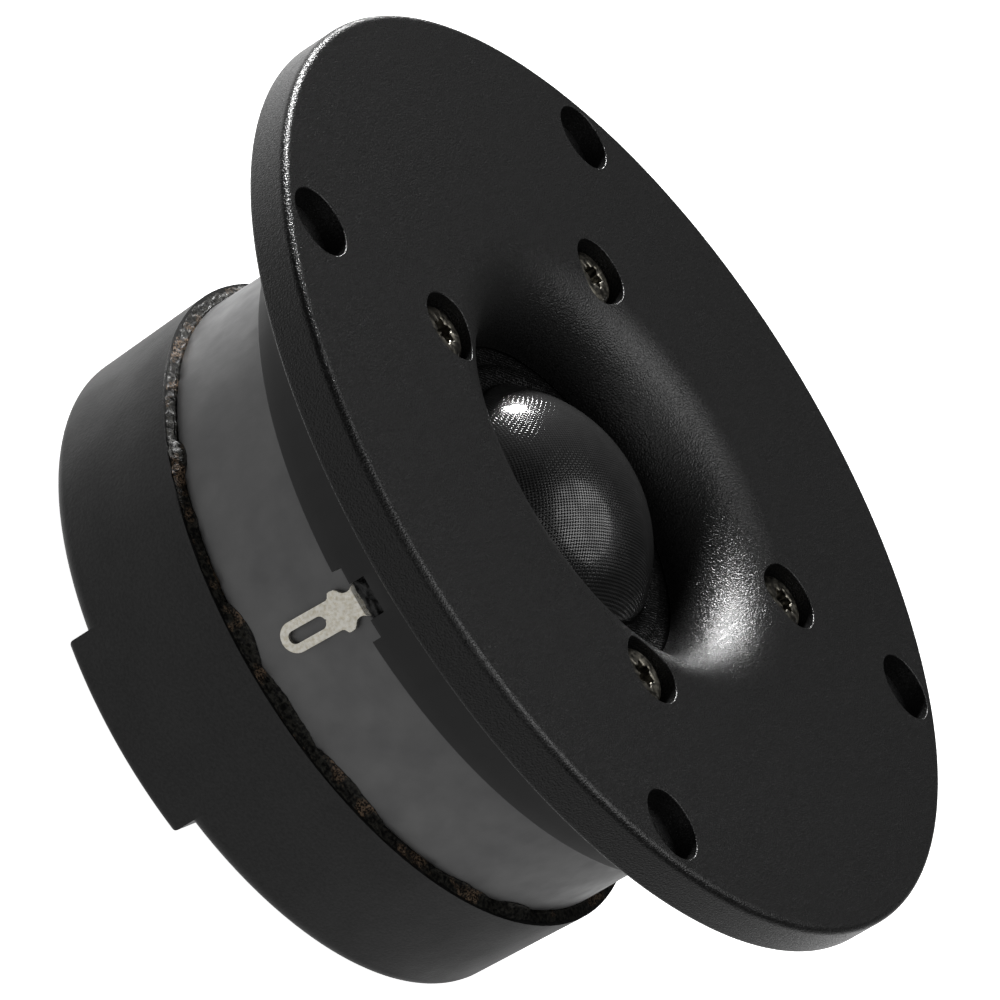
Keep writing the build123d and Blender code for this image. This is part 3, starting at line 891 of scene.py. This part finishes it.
def add_lug(bm):
    """Middle surface of one lug, as two halves that meet where there is no hole."""
    outside = LUG_OUTSIDE_R - LUG_T / 2
    rows = []
    for height in lug_heights():
        rows.append((outside, height, slot_half_width(height), lug_half_width(height)))
    flat_top = rows[-1][1]
    for spot in lug_path():
        if spot.y <= flat_top + 0.02 and spot.x > outside - 0.01:
            continue
        on_riser = spot.x > LUG_INSIDE_R - 1
        rows.append((spot.x, spot.y, 0.0, lug_half_width(spot.y) if on_riser else TONGUE_HALF_W))
    columns = 8
    for side in (1, -1):
        rings = []
        for radius, height, inner, outer in rows:
            lean = LUG_LEAN * (height - LUG_BEND_Z[1]) if height < LUG_BEND_Z[1] else 0.0
            ring = []
            for column in range(columns + 1):
                across = inner + (outer - inner) * column / columns
                ring.append(bm.verts.new((radius, side * across + lean + LUG_SHIFT_Y, height)))
            rings.append(ring)
        for low, high in zip(rings, rings[1:]):
            for index in range(columns):
                bm.faces.new((low[index], low[index + 1], high[index + 1], high[index]))
    bmesh.ops.remove_doubles(bm, verts=bm.verts, dist=0.002)
    bmesh.ops.dissolve_degenerate(bm, dist=0.0005, edges=bm.edges)


def make_terminal(name, node, turn):
    bm = bmesh.new()
    add_lug(bm)
    bmesh.ops.rotate(bm, verts=bm.verts, matrix=Matrix.Rotation(math.radians(turn), 3, "Z"))
    lug = object_from(name, bm)
    solid = lug.modifiers.new("sheet", "SOLIDIFY")
    solid.thickness = LUG_T * MM
    solid.offset = 0
    bevel = lug.modifiers.new("punched_edge", "BEVEL")
    bevel.width = 0.1 * MM
    bevel.segments = 3
    bevel.limit_method = "ANGLE"
    bevel.angle_limit = math.radians(60)
    apply_modifiers(lug)
    shade(lug, 40)
    return dress(lug, terminal_finish(), [node])


def make_seal(name, node, side):
    """Lumpy compound that fills the window above a lug."""
    outer = COLLAR_R - 1.0
    low = Vector((COLLAR_SKIRT_R + 0.1, -WINDOW_W / 2, NOTCH_TOP_Z - 0.1))
    high = Vector((outer, WINDOW_W / 2, WINDOW_TOP_Z))
    bm = bmesh.new()
    add_block(bm, low, high)
    bmesh.ops.subdivide_edges(bm, edges=bm.edges, cuts=15, use_grid_fill=True)
    for vertex in bm.verts:
        if vertex.co.x > low.x + 0.2:
            across = vertex.co.y / WINDOW_W
            vertex.co.x += noise.noise(vertex.co * 1.7) * 0.5 - 1.1 * across * across
            vertex.co.x = min(vertex.co.x, COLLAR_R - 0.15)
    if side < 0:
        bmesh.ops.rotate(bm, verts=bm.verts, matrix=Matrix.Rotation(math.pi, 3, "Z"))
    seal = object_from(name, bm)
    shade(seal, 60)
    return dress(seal, potting_finish(), [node])


def make_lead(name, node, side, material):
    """Flexible lead between a terminal's tongue and the coil former."""
    start = Vector((LUG_TONGUE_END_R, 0, LUG_TONGUE_Z - LUG_T / 2))
    end = Vector((LEAD_INNER_R, 0, LUG_TONGUE_Z + LUG_T / 2))
    bm = bmesh.new()
    rings = []
    steps = 40
    for step in range(steps + 1):
        share = step / steps
        middle = start.lerp(end, share) - Vector((0, 0, LEAD_SAG * 4 * share * (1 - share)))
        ring = []
        for index in range(16):
            angle = math.tau * index / 16
            strand = LEAD_R * (1 + 0.08 * math.cos(6 * (angle + share * 14)))
            around = Vector((0, strand * math.cos(angle), strand * math.sin(angle)))
            ring.append(bm.verts.new(middle + around))
        rings.append(ring)
    add_rings(bm, rings, closed=False)
    bm.faces.new(rings[0])
    bm.faces.new(rings[-1])
    if side < 0:
        bmesh.ops.rotate(bm, verts=bm.verts, matrix=Matrix.Rotation(math.pi, 3, "Z"))
    lead = object_from(name, bm)
    shade(lead, 60)
    lead.data.materials.append(material)
    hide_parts(node)
    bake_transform(lead)
    return lead


# ---------------------------------------------------------------- sealant and soft parts


# Places where the sealant was smeared further: azimuth, half width, climb up the magnet, bulge
SMEARS = (
    (-38.0, 3.6, 1.0, 0.5),
    (-26.0, 2.0, 0.5, 0.2),
    (-5.5, 6.0, 1.3, 0.0),
    (8.0, 8.0, 0.9, 0.0),
    (24.0, 9.0, 1.1, 0.0),
    (52.0, 7.0, 0.7, 0.3),
    (66.0, 5.0, 1.0, 0.4),
    (128.0, 9.0, 1.2, 0.2),
    (171.0, 6.0, 0.8, 0.3),
    (-142.0, 8.0, 1.1, 0.1),
    (-98.0, 6.0, 0.7, 0.4),
)


def smear_at(degrees_round):
    """Extra climb and bulge of the sealant at an azimuth."""
    climb = 0.0
    bulge = 0.0
    for azimuth, half_width, rise, swell in SMEARS:
        away = abs((degrees_round - azimuth + 180) % 360 - 180) / half_width
        if away < 1:
            share = (1 - away * away) ** 0.7
            climb = max(climb, rise * share)
            bulge = max(bulge, swell * share)
    return climb, bulge


def make_sealant():
    """Ragged bead between the magnet's rear edge and the cup's rim."""
    bm = bmesh.new()
    segments = 1440
    across = 22
    rings = [[] for _ in range(across + 4)]
    for index in range(segments):
        angle = math.tau * index / segments
        round_spot = turn_point(1, angle, 0)
        climb, bulge = smear_at(math.degrees(angle))
        ragged = noise.noise(round_spot * 14 + Vector((5, 0, 0))) * 0.35
        ragged += noise.noise(round_spot * 70) * 0.16
        top_z = FERRITE_BOTTOM_Z + 0.05 + climb + ragged * (1 if climb < 0.2 else 0.6)
        rim_r = CUP_RIM_R - 0.4 + noise.noise(round_spot * 25 + Vector((0, 9, 0))) * 0.35
        foot_z = CUP_FRONT_Z + 0.02
        profile = [(FERRITE_R - 1.1, foot_z), (rim_r - 0.2, foot_z)]
        for step in range(across):
            share = step / (across - 1)
            radius = rim_r + (FERRITE_R + 0.12 - rim_r) * min(1.0, share * 1.7)
            height = foot_z + 0.08 + (top_z - foot_z - 0.08) * share ** 1.2
            swell = math.sin(math.pi * min(1.0, share * 1.25)) * (0.1 + bulge)
            lumps = noise.noise(Vector((round_spot.x * 55, round_spot.y * 55, share * 3.0))) * 0.22
            lumps += noise.noise(Vector((round_spot.x * 140, round_spot.y * 140, share * 7.0))) * 0.1
            edge = min(1.0, (1 - share) * 6)
            profile.append((radius + (swell + lumps) * edge * 0.8, height + lumps * 0.4 * edge))
        profile.append((FERRITE_R - 0.02, top_z - 0.02))
        profile.append((FERRITE_R - 1.1, FERRITE_BOTTOM_Z - 0.02))
        for ring, (radius, height) in zip(rings, profile):
            ring.append(bm.verts.new(turn_point(radius, angle, height)))
    add_rings(bm, rings, closed=True)
    bead = object_from("sealant_ribbon", bm)
    shade(bead, 50)
    return dress(bead, sealant_finish(), ["sealant_bead"])


def make_felt(name, node, material, inner, crown):
    """Soft ring or disc with rounded, slightly uneven faces."""
    low = bottom_of(node)
    high = top_of(node)
    outer = radius_of(node)
    edge = (high - low) * 0.25
    outline = arc((outer - edge, low + edge), edge, -90, 0, 5)
    outline += arc((outer - edge, high - edge), edge, 0, 90, 5)
    if inner:
        outline += along((outer - edge, high), (inner + edge, high), 12)[:-1]
        outline += arc((inner + edge, high - edge), edge, 90, 180, 5)
        outline += arc((inner + edge, low + edge), edge, 180, 270, 5)
        outline += along((inner + edge, low), (outer - edge, low), 12)[:-1]
    else:
        outline += along((outer - edge, high), (0, high), 24)
        outline = [(0, low)] + along((0, low), (outer - edge, low), 24)[:-1] + outline
    bm = bmesh.new()
    add_lathe(bm, outline, 180, closed=bool(inner))
    roughen(bm, lambda spot: low + 0.1 < spot.z, 2.5, crown, 1.7)
    for vertex in bm.verts:
        vertex.co.z = min(max(vertex.co.z, low), high)
    pad = object_from(name, bm)
    shade(pad, 60)
    dress(pad, material, [node])
    return pad


def paint(node, material):
    """Puts a finish on a node whose own shape is shown."""
    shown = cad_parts[node]
    shown.data.materials.clear()
    shown.data.materials.append(material)
    for polygon in shown.data.polygons:
        polygon.material_index = 0


# ---------------------------------------------------------------- studio


def place_camera():
    """Camera at the reference view: from the terminal's side, above the face, rolled."""
    elevation = math.radians(CAMERA_ELEVATION)
    target = Vector(CAMERA_TARGET) * MM
    distance = CAMERA_DISTANCE * MM
    back = turn_point(math.cos(elevation), math.radians(CAMERA_AZIMUTH), math.sin(elevation))
    data = bpy.data.cameras.new("camera")
    data.lens = CAMERA_LENS
    data.sensor_width = SENSOR_WIDTH
    data.clip_end = CLIP_END_M
    camera = bpy.data.objects.new("camera", data)
    level = (-back).to_track_quat("-Z", "Y").to_matrix().to_4x4()
    stand = Matrix.Translation(target + back * distance)
    camera.matrix_world = stand @ level @ Matrix.Rotation(math.radians(CAMERA_ROLL), 4, "Z")
    bpy.context.scene.collection.objects.link(camera)
    bpy.context.scene.camera = camera


def place_light(name, azimuth, elevation, distance, width, height, power):
    """Soft light of a width and height at a direction from the object, aimed at it."""
    data = bpy.data.lights.new(name, "AREA")
    data.shape = "ELLIPSE"
    data.size = width
    data.size_y = height
    data.energy = power
    rise = math.radians(elevation)
    out = turn_point(math.cos(rise), math.radians(azimuth), math.sin(rise))
    light = bpy.data.objects.new(name, data)
    aim = out.to_track_quat("Z", "Y").to_matrix().to_4x4()
    light.matrix_world = Matrix.Translation(out * distance) @ aim
    bpy.context.scene.collection.objects.link(light)


def place_world():
    """White sweep below the horizon, stronger toward one side, and a dim room above it."""
    world = bpy.data.worlds.new("studio")
    bpy.context.scene.world = world
    world.use_nodes = True
    tree = world.node_tree
    background = tree.nodes["Background"]
    background.inputs["Color"].default_value = (1, 1, 1, 1)
    place = tree.nodes.new("ShaderNodeTexCoord")
    split = tree.nodes.new("ShaderNodeSeparateXYZ")
    tree.links.new(place.outputs["Generated"], split.inputs["Vector"])
    toward = tree.nodes.new("ShaderNodeVectorMath")
    toward.operation = "DOT_PRODUCT"
    toward.inputs[1].default_value = GLOW_SIDE
    tree.links.new(place.outputs["Generated"], toward.inputs[0])
    sweep = tree.nodes.new("ShaderNodeMapRange")
    glow = tree.nodes.new("ShaderNodeMapRange")
    levels = [(sweep, split.outputs["Z"], (-0.36, 0.02, 1.0, 0.0))]
    levels.append((glow, toward.outputs["Value"], (0.55, 0.98, 0.46, 1.3)))
    for node, source, limits in levels:
        for label, value in zip(("From Min", "From Max", "To Min", "To Max"), limits):
            node.inputs[label].default_value = value
        tree.links.new(source, node.inputs["Value"])
    strength = tree.nodes.new("ShaderNodeMath")
    strength.operation = "MULTIPLY_ADD"
    strength.inputs[2].default_value = ROOM_STRENGTH
    tree.links.new(sweep.outputs["Result"], strength.inputs[0])
    tree.links.new(glow.outputs["Result"], strength.inputs[1])
    tree.links.new(strength.outputs["Value"], background.inputs["Strength"])


def place_floor():
    """Plain white floor under the cup's bar."""
    bm = bmesh.new()
    bmesh.ops.create_grid(bm, x_segments=4, y_segments=4, size=FLOOR_HALF_SIDE)
    for vertex in bm.verts:
        vertex.co.z = REST_Z - FLOOR_GAP
    floor = object_from("floor", bm)
    finish = bpy.data.materials.new("floor_finish")
    finish.use_nodes = True
    shader = finish.node_tree.nodes["Principled BSDF"]
    shader.inputs["Base Color"].default_value = (0.9, 0.9, 0.9, 1)
    shader.inputs["Roughness"].default_value = 0.9
    shader.inputs["Emission Color"].default_value = (1, 1, 1, 1)
    shader.inputs["Emission Strength"].default_value = 1.0
    floor.data.materials.append(finish)
    floor.visible_glossy = False
    floor.visible_diffuse = False


# ---------------------------------------------------------------- assembly

make_faceplate()
make_screws()
make_collar()
make_ferrite()
make_dome()
make_surround()
make_terminal("terminal_lug_positive", "terminal_positive", 0)
make_terminal("terminal_lug_negative", "terminal_negative", 180)
make_seal("window_seal_positive", "terminal_seal_positive", 1)
make_seal("window_seal_negative", "terminal_seal_negative", -1)
braid = copper_finish("braid_finish", (0.75, 0.4, 0.22))
make_lead("lead_braid_positive", "lead_wire_positive", 1, braid)
make_lead("lead_braid_negative", "lead_wire_negative", -1, braid)
make_sealant()
felt = fibre_finish("felt_finish", (0.05, 0.05, 0.055), (0.13, 0.13, 0.14))
foam = fibre_finish("wadding_finish", (0.3, 0.3, 0.28), (0.55, 0.54, 0.5))
fibre = fibre_finish("gasket_finish", grey(0.02), grey(0.06))
make_felt("felt_ring", "pole_felt", felt, POLE_FELT_BORE_R, 0.15)
make_felt("wadding_disc", "chamber_pad", foam, 0.0, 0.6)
make_felt("gasket_ring", "diaphragm_gasket", fibre, GASKET_BORE_R, 0.0)

paint("rear_cup", cup_finish())
paint("diaphragm_frame", plain_plastic_finish("frame_finish", 0.03, 0.45))
paint("locating_pins", steel_finish("pin_finish", 0.6, 0.3))
paint("coil_former", steel_finish("former_finish", 0.7, 0.35))
paint("coil_winding", copper_finish("winding_finish", (0.7, 0.32, 0.16)))
paint("top_plate", steel_finish("top_plate_finish", 0.35, 0.35))
paint("pole_yoke", steel_finish("yoke_finish", 0.4, 0.35))
paint("shorting_cap", copper_finish("cap_finish", (0.8, 0.42, 0.25)))

place_floor()
place_world()
place_light("key", -131.5, 19.0, 0.64, 0.13, 0.075, 5.5)
place_light("overhead", 125.0, 73.0, 0.7, 0.6, 0.6, 2.7)
place_light("fill", 20.0, 42.0, 0.9, 0.8, 0.8, 1.3)
place_camera()
bpy.context.scene.view_settings.view_transform = "Standard"
